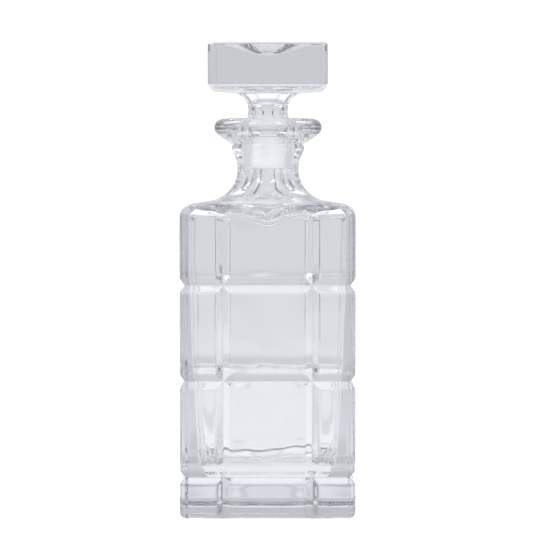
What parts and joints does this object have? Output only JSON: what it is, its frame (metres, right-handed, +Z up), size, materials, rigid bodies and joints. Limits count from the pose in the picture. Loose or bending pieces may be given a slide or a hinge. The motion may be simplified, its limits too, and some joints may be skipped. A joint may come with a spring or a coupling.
{
  "type": "square glass decanter",
  "caption": "Square glass decanter with a grid of V-shaped cuts, a waisted neck with a flared lip, and a square block stopper that lifts out.",
  "frame": {"origin": "middle of the foot, on the surface that the decanter stands on", "axes": "+Z up along the neck's axis, +X and +Y square to the flat faces"},
  "size_m": [0.096, 0.096, 0.2607],
  "materials": {
    "decanter_glass": "polished clear crystal",
    "stopper_glass": "polished clear crystal, finely ground plug"
  },
  "bodies": {
    "decanter": {"decanter": "decanter_glass"},
    "stopper": {"stopper": "stopper_glass"}
  },
  "joints": [
    {"name": "stopper_lift", "type": "slide", "parent": "decanter", "child": "stopper", "axis": [0, 0, 1], "range_m": [0, 0.06]}
  ]
}
